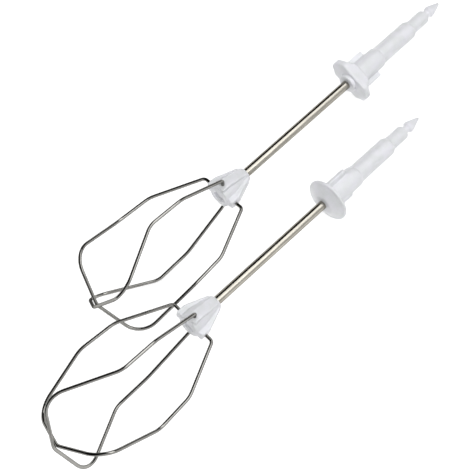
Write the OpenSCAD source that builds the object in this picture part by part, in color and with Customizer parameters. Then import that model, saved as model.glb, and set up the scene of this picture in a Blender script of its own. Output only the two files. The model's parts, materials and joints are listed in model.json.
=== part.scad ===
// Pair of wire beaters for a hand mixer, lying on a table, the plain one propped on the keyed one.
// Each beater: moulded drive shank, steel shaft, moulded whisk hub and two bent wire loops.
// A beater is drawn upright first: z = 0 is the level where the wires leave the hub, the drive
// shank is above it and the whisk hangs below. It is then laid down with its shank towards +X.

/* [Shaft] */
// Diameter of the steel shaft
shaft_d = 3.8; // [3:0.1:5]
// Bare length of shaft between the whisk hub and the collar
shaft_free = 64; // [40:1:90]
// Length of shaft held inside the drive shank
shaft_in_shank = 30; // [20:1:38]
// Height of the lower end of the shaft above the wires
shaft_bottom = 2.6; // [2:0.1:4]
// Depth of the grip groove near each end of the shaft
groove_depth = 0.4; // [0.2:0.1:0.6]
// Width of the grip groove
groove_w = 2; // [1:0.5:3]
// Distance of the grip groove from the end of the shaft
groove_inset = 4; // [2:0.5:6]

/* [Whisk hub] */
// Height of the hub above the wires
hub_h = 13; // [10:0.5:18]
// Depth of the hub below the wires
hub_skirt = 2.6; // [1.5:0.1:4]
// Diameter of the hub where the shaft enters
hub_neck_d = 7; // [6:0.2:9]
// Diameter of the hub body at the wires
hub_body_d = 10.4; // [9:0.2:12]
// Reach from the axis of the two hub arms that hold the inner loop
arm_r = 7.2; // [6.2:0.1:8.5]
// Reach of the two arms that hold the outer loop
outer_arm_r = 6.2; // [5.8:0.1:8.5]
// Width of each arm
arm_w = 4.6; // [3:0.2:5]
// Height of the outer end of each arm above the wires
arm_rise = 2.2; // [1.5:0.1:4]
// Diameter of the hollow in the underside of the hub
hub_recess_d = 5.2; // [3:0.2:6]
// Depth of that hollow
hub_recess_h = 1; // [0.5:0.1:1.5]
// Wall between the shaft and the ends of the wires
wire_wall = 1.5; // [1:0.1:2]

/* [Wire loops] */
// Diameter of the wire
wire_d = 1.4; // [1:0.1:2]
// Distance from the end of an arm out to the shoulder of the inner loop
shoulder_out = 3.5; // [2.8:0.1:5]
// The same distance for the outer loop
outer_shoulder_out = 3; // [1.5:0.1:5]
// Radius where the flare ends
flare_r = 20.6; // [17:0.1:25]
// Height of the flare
flare_l = 22.4; // [16:0.2:28]
// Largest radius of the whisk
bulge_r = 21.7; // [18:0.1:26]
// Height of the straight part, from the flare to the start of the twist
straight_l = 17.1; // [13:0.1:22]
// Radius of the lower corners
corner_r = 21.5; // [18:0.1:26]
// Height of the twisted part, down to the lower corners
twist_l = 25.3; // [20:0.1:32]
// Depth of the tip of the inner loop below its corners
tip_l = 6.2; // [5:0.1:8]
// Twist of the lower whisk round the axis, in degrees
twist = 37; // [0:1:45]
// Clearance between the two loops where they cross at the tip
loop_gap = 0.1; // [0.05:0.05:0.5]
// Bend radius at the shoulder
shoulder_bend = 2; // [1.2:0.1:3]
// Bend radius at the end of the flare
flare_bend = 12; // [6:1:20]
// Bend radius where the twist starts
bulge_bend = 10; // [5:1:16]
// Bend radius at the lower corners
corner_bend = 9; // [5:0.5:11]
// Bend radius at the tip
tip_bend = 6; // [4:0.5:10]

/* [Drive shank] */
// Diameter of the collar of the plain beater
collar_d = 19.8; // [16:0.2:24]
// Span of the two wings that are the collar of the keyed beater
key_span = 21; // [17:0.2:24]
// Width of that collar across its flat sides
key_w = 10.4; // [9.8:0.2:14]
// Width of the end of a wing
key_end_w = 3.6; // [3:0.2:8]
// Length of the slanted corners beside that end
key_corner_l = 3.6; // [1:0.1:4]
// Thickness of the rim of the plain collar
rim_t = 1.4; // [1.2:0.1:3.5]
// Height of that rim above the underside of the boss
rim_lift = 2.6; // [1:0.1:3.5]
// Diameter of the boss under either collar
boss_d = 8.4; // [7:0.2:10]
// Slope between the plain collar and the lower barrel
rim_slope = 1; // [0.5:0.1:1.5]
// Height of the wings above the underside of the boss
key_lift = 1.8; // [0.8:0.1:2]
// Thickness of the wings of the keyed collar
key_t = 2.6; // [2:0.1:4.5]
// Bevel round the underside of the keyed collar
key_bevel = 0.8; // [0.4:0.1:1.5]
// Height of the slope on top of the wings
key_cone_h = 3.2; // [1:0.1:4]
// Width of the ledge at the top of that slope
key_ledge = 1; // [0.5:0.1:2]
// Diameter of the lower barrel
low_barrel_d = 9.6; // [8.8:0.1:11]
// Length of the lower barrel, measured from the underside of the collar
low_barrel_l = 21; // [18:0.5:24]
// Diameter of the middle barrel, which runs in the drive socket
mid_barrel_d = 8.4; // [7.6:0.1:9]
// Length of the middle barrel
mid_barrel_l = 22; // [15:0.5:30]
// Diameter of the upper barrel
top_barrel_d = 6.3; // [5.6:0.1:7]
// Length of the upper barrel
top_barrel_l = 10; // [6:0.5:14]
// Diameter of the neck that the catch grips
neck_d = 3.5; // [3:0.1:4.4]
// Length of the neck
neck_l = 2.4; // [1.5:0.1:4]
// Diameter of the snap tip
snap_d = 5; // [4.6:0.1:5.4]
// Length of the snap tip
snap_l = 8; // [6:0.5:10]
// Reach of the two drive ears from the axis
ear_r = 7; // [6:0.1:8]
// Width of an ear
ear_w = 2; // [1.4:0.1:3]
// Distance from the underside of the collar to the top of the ears
ear_top = 16; // [13:0.5:17]
// Distance from the underside of the collar to the root of the ears
ear_root = 2; // [1.7:0.1:3]
// Edge rounding of the barrels
edge = 0.6; // [0.3:0.1:0.8]

/* [Lying on the table] */
// Turn of the keyed beater about its own axis
keyed_roll = -8; // [-20:1:20]
// Turn of the plain beater about its own axis
plain_roll = 2; // [-10:1:10]
// Turn of the keyed beater's ears from its wires
keyed_ears = 25; // [0:1:180]
// Turn of the plain beater's ears from its wires
plain_ears = 54; // [0:1:180]
// How far past the start of the keyed twist the plain hub lies
pair_past = 9.5; // [7:0.5:13]
// Sideways room between the plain hub and the keyed whisk
pair_gap = 1.7; // [1:0.1:3]
// Clearance where a plain wire lies over a keyed wire
cross_gap = 0.3; // [0.2:0.05:1]

/* [Hidden] */
$fn = 64;
// Each rod of a loop runs this far into the elbows at its ends, and an elbow is this much thicker
weld = 0.02;
// How far a cutter runs past the surface that it cuts
overrun = 1;

wire_r = wire_d / 2;
shaft_r = shaft_d / 2;
collar_z = hub_h + shaft_free;
shaft_top = collar_z + shaft_in_shank;
shaft_l = shaft_top - shaft_bottom;
wire_end_r = shaft_r + wire_wall;
shoulder_r = arm_r + shoulder_out;
bulge_drop = flare_l + straight_l;
corner_drop = bulge_drop + twist_l;
tip_drop = corner_drop + tip_l;
whisk_r = max(flare_r, bulge_r, corner_r) + wire_r;
mid_z = collar_z + low_barrel_l;
top_z = mid_z + mid_barrel_l;
neck_z = top_z + top_barrel_l;
snap_z = neck_z + neck_l;
tip_z = snap_z + snap_l;
outer_extra = wire_d + loop_gap;
rim_r = rim_t / 2;
rim_z = collar_z + rim_lift + rim_r;
key_end = [key_span / 2, key_end_w / 2];
key_corner = [key_span / 2 - key_corner_l, key_w / 2];
key_r = norm(key_end);
key_z = collar_z + key_lift;
key_top = key_z + key_t + key_cone_h;
// Start, extra depth and shoulder radius of each loop
inner_loop = [0, 0, shoulder_r];
outer_loop = [90, outer_extra, outer_arm_r + outer_shoulder_out];

// ---- Bent wire: straight rods and true round elbows along a path of corners ----

function unit(v) = v / norm(v);
function polar(r, az, z) = [r * cos(az), r * sin(az), z];

// Corners of one half of a loop, from inside its arm to the last one before the tip
function half_path(az, turn, loop) = [
    polar(wire_end_r, az, 0),
    polar(loop[2], az, 0),
    polar(flare_r, az, -flare_l),
    polar(bulge_r, az, -bulge_drop),
    polar(corner_r, az + turn, -corner_drop - loop[1])
];
function reversed(list) = [for (i = [len(list) - 1 : -1 : 0]) list[i]];
function loop_path(loop, turn) = concat(
    half_path(loop[0], turn, loop), [[0, 0, -tip_drop - loop[1]]],
    reversed(half_path(loop[0] + 180, turn, loop)));
half_bends = [0, shoulder_bend, flare_bend, bulge_bend, corner_bend];
loop_bends = concat(half_bends, [tip_bend], reversed(half_bends));

// Half the angle between the two legs at corner i, and the length that the elbow takes from each leg
function half_angle(p, i) = acos(unit(p[i - 1] - p[i]) * unit(p[i + 1] - p[i])) / 2;
function trim_length(p, i) = (i == 0 || i == len(p) - 1) ? 0 : loop_bends[i] / tan(half_angle(p, i));

// Elbow i turns round this centre, from the side where the first leg ends, through this angle
function elbow_centre(p, i) = p[i]
    + unit(unit(p[i - 1] - p[i]) + unit(p[i + 1] - p[i])) * loop_bends[i] / sin(half_angle(p, i));
function elbow_side(p, i) = unit(p[i] + unit(p[i - 1] - p[i]) * trim_length(p, i) - elbow_centre(p, i));
function elbow_angle(p, i) = 180 - 2 * half_angle(p, i);
// Point on the middle line of elbow i, at an angle from its start
function elbow_point(p, i, angle) = elbow_centre(p, i)
    + loop_bends[i] * (elbow_side(p, i) * cos(angle) + unit(p[i] - p[i - 1]) * sin(angle));

module rod(from, to) {
    v = to - from;
    translate(from)
        rotate([0, acos(v.z / norm(v)), atan2(v.y, v.x)])
            cylinder(h = norm(v), d = wire_d);
}

module elbow(p, i) {
    c = elbow_centre(p, i);
    x = elbow_side(p, i);
    y = unit(p[i] - p[i - 1]);
    z = cross(x, y);
    multmatrix([[x.x, y.x, z.x, c.x], [x.y, y.y, z.y, c.y], [x.z, y.z, z.z, c.z], [0, 0, 0, 1]])
        rotate_extrude(angle = elbow_angle(p, i))
            translate([loop_bends[i], 0])
                circle(d = wire_d + weld);
}

module wire_loop(loop, turn) {
    p = loop_path(loop, turn);
    last = len(p) - 1;
    for (i = [0 : last - 1]) {
        along = unit(p[i + 1] - p[i]);
        rod(p[i] + along * (trim_length(p, i) - (i == 0 ? 0 : weld)),
            p[i + 1] - along * (trim_length(p, i + 1) - (i + 1 == last ? 0 : weld)));
    }
    for (i = [1 : len(p) - 2])
        elbow(p, i);
}

// ---- Shaft, hub and drive shank ----

module grip_groove(z) {
    translate([0, 0, z])
        rotate_extrude()
            translate([shaft_r - groove_depth, 0])
                square([groove_depth + overrun, groove_w]);
}

module steel_shaft() {
    difference() {
        translate([0, 0, shaft_bottom])
            cylinder(h = shaft_l, d = shaft_d);
        grip_groove(shaft_bottom + groove_inset);
        grip_groove(shaft_top - groove_inset - groove_w);
    }
}

module whisk_hub() {
    difference() {
        union() {
            rotate_extrude()
                polygon([
                    [0, -hub_skirt], [hub_body_d / 2 - edge, -hub_skirt],
                    [hub_body_d / 2, edge - hub_skirt], [hub_body_d / 2, arm_rise],
                    [hub_neck_d / 2, hub_h - edge],
                    [hub_neck_d / 2 - edge, hub_h], [0, hub_h]
                ]);
            for (az = [0 : 90 : 270]) {
                reach = az % 180 == 0 ? arm_r : outer_arm_r;
                rotate([90, 0, az])
                    linear_extrude(height = arm_w, center = true)
                        polygon([
                            [0, -hub_skirt + edge], [reach - edge, -hub_skirt + edge],
                            [reach, -hub_skirt + 2 * edge], [reach, arm_rise - edge],
                            [reach - edge, arm_rise], [hub_neck_d / 2, hub_h - 2 * edge],
                            [0, hub_h - 2 * edge]
                        ]);
            }
        }
        steel_shaft();
        for (az = [0 : 90 : 270])
            rotate([0, 90, az])
                translate([0, 0, wire_end_r])
                    cylinder(h = arm_r, d = wire_d);
        translate([0, 0, -hub_skirt - overrun])
            cylinder(h = hub_recess_h + overrun, d = hub_recess_d);
    }
}

// Outline of the barrels, neck and snap tip above height z0, from the axis outwards
function barrel_outline(z0) = [
    [0, z0], [low_barrel_d / 2, z0],
    [low_barrel_d / 2, mid_z - edge], [mid_barrel_d / 2, mid_z],
    [mid_barrel_d / 2, top_z - 2 * edge], [mid_barrel_d / 2 - edge, top_z - edge / 2],
    [top_barrel_d / 2, top_z],
    [top_barrel_d / 2, neck_z - edge], [top_barrel_d / 2 - edge, neck_z],
    [neck_d / 2, neck_z], [neck_d / 2, snap_z - edge], [snap_d / 2, snap_z + edge],
    [snap_d / 2, snap_z + 3 * edge], [edge, tip_z], [0, tip_z]
];

module shank_body() {
    rotate_extrude()
        polygon(barrel_outline(collar_z + rim_lift));
    translate([-ear_r, -ear_w / 2, collar_z + ear_root])
        cube([2 * ear_r, ear_w, ear_top - ear_root]);
}

module plain_shank() {
    difference() {
        union() {
            shank_body();
            rotate_extrude() {
                polygon([
                    [0, collar_z], [boss_d / 2, collar_z],
                    [collar_d / 2 - rim_r, rim_z - rim_r], [collar_d / 2 - rim_r, rim_z + rim_r],
                    [low_barrel_d / 2 + rim_slope, rim_z + rim_r + rim_slope],
                    [0, rim_z + rim_r + rim_slope]
                ]);
                translate([collar_d / 2 - rim_r, rim_z])
                    circle(d = rim_t);
            }
        }
        steel_shaft();
    }
}

// Seen from the tip: two blunt wings in line with the ears
module key_plan() {
    polygon([
        for (q = [[1, 1], [-1, 1], [-1, -1], [1, -1]])
            for (c = q.x * q.y > 0 ? [key_end, key_corner] : [key_corner, key_end])
                [q.x * c.x, q.y * c.y]
    ]);
}

// Seen from the end of a wing: a slab with the long edges of its underside bevelled
module key_side() {
    low = key_w / 2 - key_bevel - overrun;
    wide = key_w / 2 + overrun;
    polygon([
        [-low, -overrun], [low, -overrun], [wide, key_bevel + overrun], [wide, key_top],
        [-wide, key_top], [-wide, key_bevel + overrun]
    ]);
}

module keyed_shank() {
    difference() {
        union() {
            shank_body();
            translate([0, 0, collar_z])
                cylinder(h = key_lift + key_t, d = boss_d);
            intersection() {
                translate([0, 0, key_z - overrun])
                    linear_extrude(height = key_top - key_z + 2 * overrun)
                        key_plan();
                translate([0, 0, key_z])
                    rotate([90, 0, 90])
                        linear_extrude(height = 2 * key_r + 2 * overrun, center = true)
                            key_side();
                rotate_extrude()
                    polygon([
                        [0, key_z], [key_r - key_bevel, key_z], [key_r, key_z + key_bevel],
                        [key_r, key_z + key_t], [low_barrel_d / 2 + key_ledge, key_top], [0, key_top]
                    ]);
            }
        }
        steel_shaft();
    }
}

// ---- How the pair lies ----

// How far towards the table a point of an upright beater lies from its axis, after a roll
function down(p, roll) = p.x * sin(roll) + p.y * cos(roll);
// Points of a whisk that can touch the table: those along the elbows of both loops
function low_points(turn) = [
    for (loop = [inner_loop, outer_loop])
        let (p = loop_path(loop, turn))
            for (i = [1 : len(p) - 2], part = [0 : 0.05 : 1])
                elbow_point(p, i, elbow_angle(p, i) * part)
];
// Distance from the axis and height of the lower edge of each barrel, and of the tip
barrel_edges = [
    [low_barrel_d / 2, mid_z - edge], [mid_barrel_d / 2, top_z - 2 * edge],
    [top_barrel_d / 2, neck_z - edge], [snap_d / 2, snap_z + 3 * edge], [edge, tip_z]
];
// The same for the four corners around a point c of a shank that is turned by its ears
function corners_down(c, ears, roll, z) = [
    for (x = [-c.x, c.x], y = [-c.y, c.y])
        [down(polar(norm(c), atan2(y, x) + ears, 0), roll), z]
];
function ears_down(ears, roll) = corners_down([ear_r, ear_w / 2], ears, roll, collar_z + ear_top);
// Height at which the slope on top of the keyed collar is this far from the axis
function key_slope_z(r) = key_z + key_t
    + key_cone_h * (key_r - r) / (key_r - low_barrel_d / 2 - key_ledge);
keyed_edges = concat(
    barrel_edges, ears_down(keyed_ears, keyed_roll),
    corners_down(key_end, keyed_ears, keyed_roll, key_slope_z(norm(key_end))),
    corners_down(key_corner, keyed_ears, keyed_roll, key_slope_z(norm(key_corner))));
// The keyed beater rests on its whisk and on the first of those edges to touch as it leans down
keyed_tilt = min([
    for (e = keyed_edges)
        max([
            for (p = low_points(twist))
                atan((down(p, keyed_roll) + wire_r + weld / 2 - e[0]) / (e[1] - p.z))
        ])
]);
keyed_h = max([for (e = keyed_edges) e[0] * cos(keyed_tilt) + e[1] * sin(keyed_tilt)]);

// Where a point of a beater lies, from its hub centre, for its tilt and roll
function laid(p, tilt, roll) = [
    p.z * cos(tilt) - down(p, roll) * sin(tilt),
    -(p.x * cos(roll) - p.y * sin(roll)),
    -down(p, roll) * cos(tilt) - p.z * sin(tilt)
];
pair_shift = bulge_drop + pair_past;
pair_side = whisk_r + pair_gap + arm_r;
// The keyed wire that the plain one lies on, at the place where they cross
cross_x = -pair_shift - shoulder_bend / 2;
under_a = laid(polar(bulge_r, 0, -bulge_drop), keyed_tilt, keyed_roll);
under_b = laid(polar(corner_r, twist, -corner_drop), keyed_tilt, keyed_roll);
under_z = keyed_h + under_a.z + (under_b.z - under_a.z) * (cross_x - under_a.x) / (under_b.x - under_a.x);
plain_h = max(whisk_r, under_z + wire_d + cross_gap + shoulder_r * sin(plain_roll));
// Tilt at which the plain beater's edge of radius r at height z touches the table
function lean(r, z) = let (about = asin((plain_h - r) / z)) asin((plain_h - r * cos(about)) / z);
// It leans down until its collar, an ear, a barrel or its tip touches
plain_tilt = min([
    for (e = concat([[collar_d / 2, rim_z]], barrel_edges, ears_down(plain_ears, plain_roll)))
        lean(e[0], e[1])
]);

// The middle of the pair's outline on the table, which is the origin
plain_tip = tip_drop + outer_extra + wire_r;
mid_x = (tip_z * cos(keyed_tilt) - pair_shift - plain_tip * cos(plain_tilt)) / 2;
mid_y = -pair_side / 2;

module lay(x, y, h, tilt, roll) {
    translate([x - mid_x, y - mid_y, h])
        rotate([0, 90 + tilt, 0])
            rotate([0, 0, roll - 90])
                children();
}

module lay_keyed() {
    lay(0, 0, keyed_h, keyed_tilt, keyed_roll)
        children();
}

module lay_plain() {
    lay(-pair_shift, -pair_side, plain_h, plain_tilt, plain_roll)
        children();
}

// ---- The pieces ----

module keyed_drive_shank() {
    color("whitesmoke")
        lay_keyed()
            rotate([0, 0, keyed_ears])
                keyed_shank();
}

module keyed_shaft() {
    color("silver")
        lay_keyed()
            steel_shaft();
}

module keyed_whisk_hub() {
    color("whitesmoke")
        lay_keyed()
            whisk_hub();
}

module keyed_inner_loop() {
    color("lightgray")
        lay_keyed()
            wire_loop(inner_loop, twist);
}

module keyed_outer_loop() {
    color("lightgray")
        lay_keyed()
            wire_loop(outer_loop, twist);
}

module plain_drive_shank() {
    color("whitesmoke")
        lay_plain()
            rotate([0, 0, plain_ears])
                plain_shank();
}

module plain_shaft() {
    color("silver")
        lay_plain()
            steel_shaft();
}

module plain_whisk_hub() {
    color("whitesmoke")
        lay_plain()
            whisk_hub();
}

module plain_inner_loop() {
    color("lightgray")
        lay_plain()
            wire_loop(inner_loop, -twist);
}

module plain_outer_loop() {
    color("lightgray")
        lay_plain()
            wire_loop(outer_loop, -twist);
}

keyed_drive_shank();
keyed_shaft();
keyed_whisk_hub();
keyed_inner_loop();
keyed_outer_loop();
plain_drive_shank();
plain_shaft();
plain_whisk_hub();
plain_inner_loop();
plain_outer_loop();
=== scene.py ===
import json
import math

import bmesh
import bpy
from mathutils import Matrix, Vector


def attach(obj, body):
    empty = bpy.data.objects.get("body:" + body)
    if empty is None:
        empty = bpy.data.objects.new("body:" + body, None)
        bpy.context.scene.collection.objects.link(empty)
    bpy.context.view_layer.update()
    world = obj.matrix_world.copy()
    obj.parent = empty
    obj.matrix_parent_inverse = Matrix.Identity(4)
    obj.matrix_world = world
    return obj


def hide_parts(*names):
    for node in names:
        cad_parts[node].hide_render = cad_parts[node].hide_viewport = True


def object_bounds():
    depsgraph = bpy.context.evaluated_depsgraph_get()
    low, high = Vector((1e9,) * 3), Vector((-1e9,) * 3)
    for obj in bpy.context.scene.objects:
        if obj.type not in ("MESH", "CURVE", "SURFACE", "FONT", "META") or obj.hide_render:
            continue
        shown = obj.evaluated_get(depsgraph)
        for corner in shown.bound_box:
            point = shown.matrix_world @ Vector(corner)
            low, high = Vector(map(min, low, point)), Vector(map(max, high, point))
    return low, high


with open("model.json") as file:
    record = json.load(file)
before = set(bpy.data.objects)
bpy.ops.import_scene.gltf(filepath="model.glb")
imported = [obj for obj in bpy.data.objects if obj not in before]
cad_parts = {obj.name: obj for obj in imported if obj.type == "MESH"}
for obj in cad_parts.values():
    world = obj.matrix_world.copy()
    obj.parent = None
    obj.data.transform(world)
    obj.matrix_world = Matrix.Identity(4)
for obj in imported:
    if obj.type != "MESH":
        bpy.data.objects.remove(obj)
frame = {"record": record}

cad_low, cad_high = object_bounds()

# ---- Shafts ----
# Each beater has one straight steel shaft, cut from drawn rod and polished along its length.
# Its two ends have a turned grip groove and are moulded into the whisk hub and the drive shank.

MM = 0.001
BEATERS = ("keyed", "plain")
ROLL = {"keyed": -8, "plain": 2}  # degrees that each beater is turned about its own axis
BARREL_ABOVE_WIRES = 108.4  # mm from where the wires leave the hub to the middle of the drive barrel
HUB_TOP = 13  # mm above the wires
COLLAR = 77  # mm above the wires, the underside of the drive shank's collar
SHAFT_RADIUS = 1.9
SHAFT_BOTTOM, SHAFT_TOP = 2.6, 107
SHAFT_EASING = 0.3  # how far its end edges are broken
GROOVE_DEPTH, GROOVE_WIDTH, GROOVE_INSET = 0.4, 2, 4


def lying(beater):
    """Takes an upright beater, in millimetres with its wires leaving the hub at z = 0, to its place."""
    mount = next(m for m in frame["record"]["mounts"] if m["name"] == beater + "_drive_barrel")
    axis = Vector(mount["axis"])
    hub = Vector(mount["pos_m"]) - axis * BARREL_ABOVE_WIRES * MM
    tilt = math.atan2(-axis.z, axis.x)
    return (Matrix.Translation(hub) @ Matrix.Rotation(math.pi / 2 + tilt, 4, "Y")
            @ Matrix.Rotation(math.radians(ROLL[beater] - 90), 4, "Z") @ Matrix.Scale(MM, 4))


def outline(bm, corners):
    """Draws a line through (radius, height, easing) corners and rounds each one by its easing."""
    verts = [bm.verts.new((r, 0, z)) for r, z, _ in corners]
    for a, b in zip(verts, verts[1:]):
        bm.edges.new((a, b))
    for vert, (_, _, easing) in zip(verts, corners):
        if easing:
            bmesh.ops.bevel(bm, geom=[vert], offset=easing, segments=4, profile=0.5,
                            affect="VERTICES", material=-1)


def turned(corners, steps=96):
    """A solid turned round Z from its outline, which starts and ends on the axis."""
    bm = bmesh.new()
    outline(bm, corners)
    bmesh.ops.spin(bm, geom=bm.verts[:] + bm.edges[:], cent=(0, 0, 0), axis=(0, 0, 1),
                   angle=2 * math.pi, steps=steps, use_merge=True)
    bmesh.ops.remove_doubles(bm, verts=bm.verts, dist=0.001)
    bmesh.ops.recalc_face_normals(bm, faces=bm.faces)
    return bm


def add_piece(beater, name, bm, node, material, sharp=40):
    """Lays a finished upright piece down with its beater and hands it to the frame."""
    bm.transform(lying(beater))
    mesh = bpy.data.meshes.new(f"{beater}_{name}")
    bm.to_mesh(mesh)
    bm.free()
    mesh.shade_smooth()
    mesh.set_sharp_from_angle(angle=math.radians(sharp))
    mesh.materials.append(material)
    piece = bpy.data.objects.new(mesh.name, mesh)
    bpy.context.scene.collection.objects.link(piece)
    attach(piece, f"{beater}_beater")
    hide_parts(f"{beater}_{node}")


def new_material(name):
    """An empty node material with its Principled shader joined to the output."""
    material = bpy.data.materials.new(name)
    material.use_nodes = True
    nodes, links = material.node_tree.nodes, material.node_tree.links
    nodes.clear()
    shader = nodes.new("ShaderNodeBsdfPrincipled")
    links.new(shader.outputs["BSDF"], nodes.new("ShaderNodeOutputMaterial").inputs["Surface"])
    return material, nodes, links, shader


def upright_coordinates(nodes, links, beater):
    """Object coordinates turned back to those of the upright beater, in millimetres."""
    place = lying(beater)
    mapping = nodes.new("ShaderNodeMapping")
    mapping.vector_type = "TEXTURE"
    mapping.inputs["Location"].default_value = place.to_translation()
    mapping.inputs["Rotation"].default_value = place.to_euler("XYZ")
    mapping.inputs["Scale"].default_value = (MM, MM, MM)
    links.new(nodes.new("ShaderNodeTexCoord").outputs["Object"], mapping.inputs["Vector"])
    return mapping.outputs["Vector"]


def stretched(nodes, links, vector, scale):
    """The same coordinates with another scale along each axis."""
    mapping = nodes.new("ShaderNodeMapping")
    mapping.inputs["Scale"].default_value = scale
    links.new(vector, mapping.inputs["Vector"])
    return mapping.outputs["Vector"]


def noise(nodes, links, vector, scale, detail=3, roughness=0.5):
    """Cloudy grey values between 0 and 1."""
    texture = nodes.new("ShaderNodeTexNoise")
    texture.inputs["Scale"].default_value = scale
    texture.inputs["Detail"].default_value = detail
    texture.inputs["Roughness"].default_value = roughness
    links.new(vector, texture.inputs["Vector"])
    return texture.outputs["Fac"]


def ranged(nodes, links, value, low, high, to_low, to_high):
    """Carries a value from one range to another and stops at its ends."""
    node = nodes.new("ShaderNodeMapRange")
    for socket, number in zip(("From Min", "From Max", "To Min", "To Max"), (low, high, to_low, to_high)):
        node.inputs[socket].default_value = number
    links.new(value, node.inputs["Value"])
    return node.outputs["Result"]


def two_tone(nodes, links, factor, first, second):
    """A colour between two, from the first where the factor is 0 to the second where it is 1."""
    node = nodes.new("ShaderNodeMix")
    node.data_type = "RGBA"
    node.inputs["A"].default_value = (*first, 1)
    node.inputs["B"].default_value = (*second, 1)
    links.new(factor, node.inputs["Factor"])
    return node.outputs["Result"]


def bumped(nodes, links, height, distance, shader):
    """Raises the surface where a texture is light, by up to this distance in metres."""
    node = nodes.new("ShaderNodeBump")
    node.inputs["Strength"].default_value = 1
    node.inputs["Distance"].default_value = distance
    links.new(height, node.inputs["Height"])
    links.new(node.outputs["Normal"], shader.inputs["Normal"])


def polished_rod(beater):
    """Steel polished along the rod: long fine lines, soft cloudy stains and a few dull rub marks."""
    material, nodes, links, shader = new_material(f"{beater}_polished_rod")
    upright = upright_coordinates(nodes, links, beater)
    lines = noise(nodes, links, stretched(nodes, links, upright, (7, 7, 0.06)), 1, 4, 0.6)
    stains = noise(nodes, links, stretched(nodes, links, upright, (0.6, 0.6, 0.12)), 1, 3)
    links.new(two_tone(nodes, links, ranged(nodes, links, stains, 0.35, 0.65, 0, 1),
                       (0.36, 0.342, 0.3), (0.44, 0.42, 0.372)), shader.inputs["Base Color"])
    shader.inputs["Metallic"].default_value = 1
    shader.inputs["Specular Tint"].default_value = (0.3, 0.3, 0.28, 1)
    links.new(ranged(nodes, links, lines, 0.3, 0.7, 0.14, 0.26), shader.inputs["Roughness"])
    bumped(nodes, links, lines, 0.000012, shader)
    return material


def grooved_rod():
    """A straight rod with broken edges and a grip groove near each end."""
    inner = SHAFT_RADIUS - GROOVE_DEPTH
    corners = [(0, SHAFT_BOTTOM, 0), (SHAFT_RADIUS, SHAFT_BOTTOM, SHAFT_EASING)]
    for low in (SHAFT_BOTTOM + GROOVE_INSET, SHAFT_TOP - GROOVE_INSET - GROOVE_WIDTH):
        high = low + GROOVE_WIDTH
        corners += [(SHAFT_RADIUS, low, 0), (inner, low, 0), (inner, high, 0), (SHAFT_RADIUS, high, 0)]
    return turned(corners + [(SHAFT_RADIUS, SHAFT_TOP, SHAFT_EASING), (0, SHAFT_TOP, 0)])


for beater in BEATERS:
    add_piece(beater, "steel_shaft", grooved_rod(), "shaft", polished_rod(beater))

# ---- Wire loops ----
# Each whisk is two loops of round spring wire, bent on a former. A loop leaves its arm, turns down,
# flares out, runs straight and then twists round the axis to the tip, where the outer loop passes
# below the inner one. Both ends of a loop are moulded into the hub.

WIRE_RADIUS = 0.7
WIRE_END = SHAFT_RADIUS + 1.5  # distance of a wire's end from the axis, inside its arm
LOOP_GAP = 0.1
TWIST = {"keyed": 37, "plain": -37}  # degrees
TIP_DROP = 71
# Corners of half a loop past its shoulder: distance from the axis, depth, share of the twist, bend radius
HALF_LOOP = [(20.6, 22.4, 0, 12), (21.7, 39.5, 0, 10), (21.5, 64.8, 1, 9)]
# Each loop's name, its angle on the hub, how far its shoulders are from the axis and how much deeper it is
LOOPS = (("inner_loop", 0, 10.7, 0), ("outer_loop", 90, 9.2, 2 * WIRE_RADIUS + LOOP_GAP))
SHOULDER_BEND = 2
TIP_BEND = 6
SECTION = 24  # sides of the wire
LEG_STEP = 2.5  # mm between rings along a leg
BEND_STEP = math.radians(6)


def loop_corners(beater, start, shoulder, deeper):
    """Corners of a whole loop with their bend radii; deeper lowers the corner and the tip."""
    path = [(WIRE_END, 0, 0, 0), (shoulder, 0, 0, SHOULDER_BEND)] + HALF_LOOP
    halves = []
    for turn in (start, start + 180):
        half = []
        for radius, depth, share, bend in path:
            angle = math.radians(turn + share * TWIST[beater])
            point = Vector((radius * math.cos(angle), radius * math.sin(angle), -depth - share * deeper))
            half.append((point, bend))
        halves.append(half)
    return halves[0] + [(Vector((0, 0, -TIP_DROP - deeper)), TIP_BEND)] + halves[1][::-1]


def only(kind, made):
    """The vertices, edges or faces among the things that a mesh operator made."""
    return [g for g in made if isinstance(g, kind)]


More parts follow.
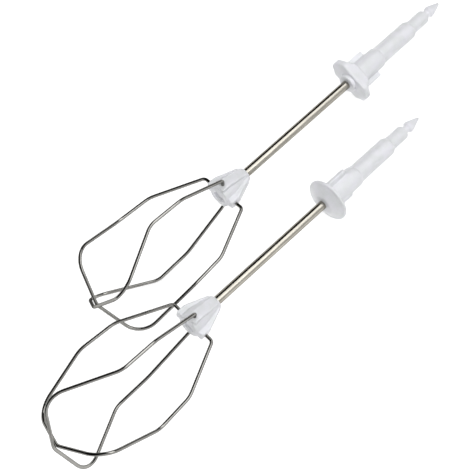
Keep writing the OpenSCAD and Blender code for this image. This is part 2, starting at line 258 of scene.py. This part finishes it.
def bent_wire(corners):
    """Draws a round section and carries it along the loop, straight down each leg and round each bend."""
    bm = bmesh.new()
    grain = bm.verts.layers.float_vector.new("grain")
    points = [p for p, _ in corners]
    ways = [(b - a).normalized() for a, b in zip(points, points[1:])]
    ring = bmesh.ops.create_circle(bm, radius=WIRE_RADIUS, segments=SECTION)["verts"]
    side = ways[0].orthogonal().normalized()
    facing = Matrix((side, ways[0].cross(side), ways[0])).transposed().to_4x4()
    bmesh.ops.transform(bm, matrix=Matrix.Translation(points[0]) @ facing, verts=ring)
    edges = list({e for v in ring for e in v.link_edges})
    bmesh.ops.contextual_create(bm, geom=edges)
    middle, length = points[0].copy(), 0.0

    def mark(ring, middle, way, side):
        """Notes where each vertex stands round the wire and along it, for the die lines."""
        for v in ring:
            out = (v.co - middle).normalized()
            v[grain] = (out.dot(side), out.dot(way.cross(side)), length)

    mark(ring, middle, ways[0], side)
    for i, way in enumerate(ways):
        bend, ahead = corners[i + 1][1], ways[i + 1] if i + 1 < len(ways) else None
        angle = way.angle(ahead) if ahead else 0
        end = points[i + 1] - way * bend * math.tan(angle / 2)
        count = max(1, round((end - middle).length / LEG_STEP))
        step = (end - middle) / count
        for _ in range(count):
            made = bmesh.ops.extrude_edge_only(bm, edges=edges)["geom"]
            ring = only(bmesh.types.BMVert, made)
            edges = [e for e in only(bmesh.types.BMEdge, made) if all(v in ring for v in e.verts)]
            bmesh.ops.translate(bm, verts=ring, vec=step)
            middle = middle + step
            length += step.length
            mark(ring, middle, way, side)
        if ahead:
            axis = way.cross(ahead).normalized()
            centre = middle + axis.cross(way) * bend
            count = max(2, round(angle / BEND_STEP))
            turn = Matrix.Rotation(angle / count, 3, axis)
            for _ in range(count):
                made = bmesh.ops.spin(bm, geom=ring + edges, cent=centre, axis=axis,
                                      angle=angle / count, steps=1)["geom_last"]
                ring, edges = only(bmesh.types.BMVert, made), only(bmesh.types.BMEdge, made)
                middle = centre + turn @ (middle - centre)
                side, way = turn @ side, turn @ way
                length += bend * angle / count
                mark(ring, middle, way, side)
    bmesh.ops.contextual_create(bm, geom=edges)
    bmesh.ops.recalc_face_normals(bm, faces=bm.faces)
    return bm


def bright_wire():
    """Drawn spring wire, bright and nearly a mirror, with fine die lines along it."""
    material, nodes, links, shader = new_material("bright_wire")
    attribute = nodes.new("ShaderNodeAttribute")
    attribute.attribute_name = "grain"
    along = attribute.outputs["Vector"]
    lines = noise(nodes, links, stretched(nodes, links, along, (5, 5, 0.05)), 1, 4, 0.6)
    stains = noise(nodes, links, stretched(nodes, links, along, (0.8, 0.8, 0.15)), 1, 3)
    links.new(two_tone(nodes, links, ranged(nodes, links, stains, 0.35, 0.65, 0, 1),
                       (0.27, 0.266, 0.25), (0.34, 0.336, 0.32)), shader.inputs["Base Color"])
    shader.inputs["Metallic"].default_value = 1
    shader.inputs["Specular Tint"].default_value = (0.15, 0.15, 0.15, 1)
    links.new(ranged(nodes, links, lines, 0.3, 0.7, 0.04, 0.1), shader.inputs["Roughness"])
    bumped(nodes, links, lines, 0.000006, shader)
    return material


wire_finish = bright_wire()
for beater in BEATERS:
    for name, start, shoulder, deeper in LOOPS:
        wire = bent_wire(loop_corners(beater, start, shoulder, deeper))
        add_piece(beater, "wire_" + name, wire, name, wire_finish)

# ---- Whisk hubs ----
# The hub is one small moulding in white plastic: a squat cone round the shaft that runs out into
# four arms, one for each wire end, with a hollow in its underside that keeps the wall even.

HUB_SKIRT = 2.6
HUB_NECK, HUB_BODY = 3.5, 5.2
HUB_HOLLOW, HUB_HOLLOW_DEPTH = 2.6, 1
ARM_REACH = (7.2, 6.2)  # arms of the inner and of the outer loop
ARM_HALF, ARM_RISE = 2.3, 2.2
ARM_FOOT = 0.5 - HUB_SKIRT
ARM_START, ARM_ROOT = 3, 1  # from the axis to an arm's inner edge, at its foot and inside the cone
HUB_VOXEL = 0.16


def moulded(bm, voxel, passes):
    """Runs overlapping solids together into one skin, and softens its edges as a mould does."""
    mesh = bpy.data.meshes.new("moulding")
    bm.to_mesh(mesh)
    bm.free()
    blank = bpy.data.objects.new("moulding", mesh)
    bpy.context.scene.collection.objects.link(blank)
    remesh = blank.modifiers.new("skin", "REMESH")
    remesh.mode = "VOXEL"
    remesh.voxel_size = voxel
    skin = blank.evaluated_get(bpy.context.evaluated_depsgraph_get()).to_mesh()
    result = bmesh.new()
    result.from_mesh(skin)
    bpy.data.objects.remove(blank)
    bpy.data.meshes.remove(mesh)
    for _ in range(passes):
        bmesh.ops.smooth_vert(result, verts=result.verts, factor=0.5,
                              use_axis_x=True, use_axis_y=True, use_axis_z=True)
    bmesh.ops.recalc_face_normals(result, faces=result.faces)
    return result


def join_solid(bm, solid):
    """Moves a finished solid into the mesh that a moulding is made from."""
    mesh = bpy.data.meshes.new("solid")
    solid.to_mesh(mesh)
    solid.free()
    bm.from_mesh(mesh)
    bpy.data.meshes.remove(mesh)


def add_plate(bm, corners, half_width, angle, easing):
    """Adds an upright plate with this (radius, height) outline, turned to an angle about Z."""
    plate = bmesh.new()
    face = plate.faces.new([plate.verts.new((r, -half_width, z)) for r, z in corners])
    far = only(bmesh.types.BMVert, bmesh.ops.extrude_face_region(plate, geom=[face])["geom"])
    bmesh.ops.translate(plate, verts=far, vec=(0, 2 * half_width, 0))
    bmesh.ops.bevel(plate, geom=plate.edges[:], offset=easing, segments=2, profile=0.5,
                    affect="EDGES", material=-1)
    bmesh.ops.recalc_face_normals(plate, faces=plate.faces)
    plate.transform(Matrix.Rotation(math.radians(angle), 4, "Z"))
    join_solid(bm, plate)


def white_moulding(beater, name):
    """White moulding plastic, slightly milky, with flow clouds, a fine mould grain and light scuffs."""
    material, nodes, links, shader = new_material(f"{beater}_{name}_plastic")
    upright = upright_coordinates(nodes, links, beater)
    clouds = noise(nodes, links, upright, 0.22, 3, 0.55)
    grain = noise(nodes, links, upright, 6, 2, 0.6)
    scuffs = noise(nodes, links, stretched(nodes, links, upright, (2.5, 2.5, 0.4)), 1, 5, 0.7)
    links.new(two_tone(nodes, links, ranged(nodes, links, clouds, 0.35, 0.65, 0, 1),
                       (0.71, 0.725, 0.735), (0.77, 0.77, 0.81)), shader.inputs["Base Color"])
    links.new(ranged(nodes, links, scuffs, 0.45, 0.75, 0.3, 0.5), shader.inputs["Roughness"])
    shader.inputs["IOR"].default_value = 1.48
    shader.inputs["Subsurface Weight"].default_value = 0.35
    shader.inputs["Subsurface Radius"].default_value = (0.0012, 0.0012, 0.0012)
    shader.inputs["Subsurface Scale"].default_value = 1
    bumped(nodes, links, grain, 0.00001, shader)
    return material


for beater in BEATERS:
    hub = turned([
        (0, HUB_HOLLOW_DEPTH - HUB_SKIRT, 0), (HUB_HOLLOW, HUB_HOLLOW_DEPTH - HUB_SKIRT, 0.3),
        (HUB_HOLLOW, -HUB_SKIRT, 0.2), (HUB_BODY, -HUB_SKIRT, 0.6), (HUB_BODY, ARM_RISE, 0.8),
        (HUB_NECK, HUB_TOP - 0.8, 0.6), (HUB_NECK - 0.5, HUB_TOP, 0.2), (0, HUB_TOP, 0),
    ], 64)
    for angle in range(0, 360, 90):
        reach = ARM_REACH[angle // 90 % 2]
        add_plate(hub, [
            (ARM_START, ARM_FOOT), (reach, ARM_FOOT), (reach, ARM_RISE), (HUB_NECK, HUB_TOP - 1),
            (ARM_ROOT, HUB_TOP - 1), (ARM_ROOT, 1)
        ], ARM_HALF, angle, 0.5)
    add_piece(beater, "moulded_hub", moulded(hub, HUB_VOXEL, 4), "whisk_hub",
              white_moulding(beater, "hub"), 80)

# ---- Drive shanks ----
# The drive shank is one moulding in the same white plastic, shot round the top of the shaft. It
# steps down from the lower barrel to the drive barrel, the top barrel, the neck and the snap tip.
# Two ears near the collar are turned by the machine. The collar tells the two beaters apart.

BARREL = 4.2
LOW_BARREL, LOW_TOP = 4.8, COLLAR + 21
DRIVE_TOP = LOW_TOP + 22
TOP_BARREL, TOP_END = 3.15, DRIVE_TOP + 10
NECK, NECK_END = 1.75, TOP_END + 2.4
SNAP, TIP = 2.5, NECK_END + 8
EAR_ROOT, EAR_REACH, EAR_HALF = 3, 7, 1
EAR_FOOT, EAR_TOP, EAR_EASING = COLLAR + 2, COLLAR + 16, 0.35
EARS = {"keyed": 25, "plain": 54}  # degrees that the ears stand from the wires
PLAIN_COLLAR, RIM, RIM_LIFT = 9.9, 1.4, 2.6  # radius, thickness and height of the round collar's rim
KEY_REACH, KEY_HALF = 10.5, 5.2  # from the axis to the end and to the flat side of the keyed collar
KEY_END_HALF, KEY_CORNER = 1.8, 3.6  # half of its blunt end, and how far back its corners are cut
KEY_LIFT, KEY_HEIGHT, KEY_SLOPE = 1.8, 2.6, 3.2
KEY_TOP_SCALE = (0.55, 0.96)  # how far its slope draws in, along and across
KEY_EASING = 0.6
BOSS, BOSS_HEIGHT = 4.2, 3
SHANK_VOXEL = 0.2


def barrels():
    """The stepped body above the collar, with every step eased."""
    return [
        (LOW_BARREL, LOW_TOP - 0.6, 0.5), (BARREL, LOW_TOP, 0.3),
        (BARREL, DRIVE_TOP - 0.9, 0.6), (BARREL - 0.7, DRIVE_TOP - 0.2, 0.3),
        (TOP_BARREL, DRIVE_TOP, 0.1),
        (TOP_BARREL, TOP_END - 0.5, 0.4), (TOP_BARREL - 0.5, TOP_END, 0.1), (NECK, TOP_END, 0.3),
        (NECK, NECK_END - 0.3, 0.3), (SNAP, NECK_END + 0.5, 0.3), (SNAP, NECK_END + 1.8, 0.8),
        (0.5, TIP, 0.3), (0, TIP, 0),
    ]


def plain_collar():
    """A round dished collar with a rolled rim and a low boss round the shaft."""
    low, high = COLLAR + RIM_LIFT, COLLAR + RIM_LIFT + RIM
    return turned([
        (0, COLLAR, 0), (BOSS, COLLAR, 0.4), (PLAIN_COLLAR - 1.2, low, 0.4),
        (PLAIN_COLLAR, low, 0.6), (PLAIN_COLLAR, high, 0.6), (PLAIN_COLLAR - 1.2, high, 0.4),
        (LOW_BARREL + 1, high + 1, 0.6), (LOW_BARREL, high + 2, 0.6)] + barrels())


def keyed_collar():
    """A collar of two blunt wings in line with the ears, bevelled below and sloped above."""
    top = COLLAR + BOSS_HEIGHT
    bm = turned([(0, COLLAR, 0), (BOSS, COLLAR, 0.4), (BOSS, top, 0), (LOW_BARREL, top, 0)] + barrels())
    key = bmesh.new()
    inset = KEY_REACH - KEY_CORNER
    side = [(KEY_REACH, KEY_END_HALF), (inset, KEY_HALF), (-inset, KEY_HALF), (-KEY_REACH, KEY_END_HALF)]
    plan = side + [(-x, -y) for x, y in side]
    face = key.faces.new([key.verts.new((x, y, COLLAR + KEY_LIFT)) for x, y in plan])
    made = bmesh.ops.extrude_face_region(key, geom=[face])["geom"]
    bmesh.ops.translate(key, verts=only(bmesh.types.BMVert, made), vec=(0, 0, KEY_HEIGHT))
    made = bmesh.ops.extrude_face_region(key, geom=only(bmesh.types.BMFace, made))["geom"]
    slope = only(bmesh.types.BMVert, made)
    bmesh.ops.scale(key, verts=slope, vec=(*KEY_TOP_SCALE, 1))
    bmesh.ops.translate(key, verts=slope, vec=(0, 0, KEY_SLOPE))
    bmesh.ops.recalc_face_normals(key, faces=key.faces)
    bmesh.ops.bevel(key, geom=key.edges[:], offset=KEY_EASING, segments=3, profile=0.5,
                    affect="EDGES", material=-1)
    join_solid(bm, key)
    return bm


for beater, make in zip(BEATERS, (keyed_collar, plain_collar)):
    shank = make()
    for angle in (0, 180):
        add_plate(shank, [(EAR_ROOT, EAR_FOOT), (EAR_REACH, EAR_FOOT), (EAR_REACH, EAR_TOP),
                          (EAR_ROOT, EAR_TOP)], EAR_HALF, angle, EAR_EASING)
    bmesh.ops.rotate(shank, verts=shank.verts, cent=(0, 0, 0),
                     matrix=Matrix.Rotation(math.radians(EARS[beater]), 3, "Z"))
    add_piece(beater, "moulded_shank", moulded(shank, SHANK_VOXEL, 2), "drive_shank",
              white_moulding(beater, "shank"), 80)

# ---- Floor, lights and camera ----
# A plain white table that runs out of sight under one wide soft light overhead. The metal mirrors a
# long softbox and a pale wall on one side, and the dark of the room on the other.

FLOOR_SIZE = 6
floor_bm = bmesh.new()
bmesh.ops.create_grid(floor_bm, x_segments=1, y_segments=1, size=FLOOR_SIZE / 2)
bmesh.ops.translate(floor_bm, verts=floor_bm.verts, vec=(0, 0, cad_low.z))
floor_mesh = bpy.data.meshes.new("floor")
floor_bm.to_mesh(floor_mesh)
floor_bm.free()
floor = bpy.data.objects.new("floor", floor_mesh)
bpy.context.scene.collection.objects.link(floor)
floor_paint, nodes, links, shader = new_material("floor_paint")
shader.inputs["Base Color"].default_value = (0.6, 0.6, 0.6, 1)
shader.inputs["Roughness"].default_value = 0.9
shader.inputs["Emission Color"].default_value = (1, 1, 1, 1)
shader.inputs["Emission Strength"].default_value = 0.65
floor_mesh.materials.append(floor_paint)

world = bpy.data.worlds.new("studio")
world.use_nodes = True
nodes, links = world.node_tree.nodes, world.node_tree.links


def towards(azimuth, elevation, length=1.0):
    """A vector that points to this azimuth, counted from +X towards +Y, and elevation in degrees."""
    a, e = math.radians(azimuth), math.radians(elevation)
    return Vector((math.cos(a) * math.cos(e), math.sin(a) * math.cos(e), math.sin(e))) * length


facing = nodes.new("ShaderNodeVectorMath")
facing.operation = "DOT_PRODUCT"
facing.inputs[1].default_value = towards(-80, -5)
links.new(nodes.new("ShaderNodeTexCoord").outputs["Generated"], facing.inputs[0])
wall = ranged(nodes, links, facing.outputs["Value"], 0.06, 0.5, 0, 1)
room = two_tone(nodes, links, wall, (0.01, 0.01, 0.01), (0.85, 0.85, 0.85))
links.new(room, nodes["Background"].inputs["Color"])
bpy.context.scene.world = world
world.cycles_visibility.diffuse = False


def add_light(name, azimuth, elevation, distance, size, power, mirrored):
    """A rectangular soft light aimed at the object, which either lights it or is only mirrored in it."""
    data = bpy.data.lights.new(name, "AREA")
    data.shape = "RECTANGLE"
    data.size, data.size_y = size
    data.energy = power
    light = bpy.data.objects.new(name, data)
    light.location = towards(azimuth, elevation, distance)
    light.rotation_euler = towards(azimuth, elevation).to_track_quat("Z", "Y").to_euler()
    light.visible_glossy = mirrored
    light.visible_diffuse = not mirrored
    bpy.context.scene.collection.objects.link(light)


add_light("softbox", -15, 58.5, 1, (1.15, 0.36), 3.3, True)
add_light("overhead_fill", -60, 85, 1.6, (3, 3), 55, False)

CAMERA_AZIMUTH, CAMERA_ELEVATION = -135.91, 69.31
CAMERA_DISTANCE = 0.5057
CAMERA_TARGET = Vector((-0.01402, 0.00327, 0))
camera_data = bpy.data.cameras.new("camera")
camera_data.sensor_width = 36
camera_data.lens = 91.23
camera = bpy.data.objects.new("camera", camera_data)
camera.location = CAMERA_TARGET + towards(CAMERA_AZIMUTH, CAMERA_ELEVATION, CAMERA_DISTANCE)
camera.rotation_euler = towards(CAMERA_AZIMUTH, CAMERA_ELEVATION).to_track_quat("Z", "Y").to_euler()
bpy.context.scene.collection.objects.link(camera)
bpy.context.scene.camera = camera
bpy.context.scene.view_settings.view_transform = "Standard"
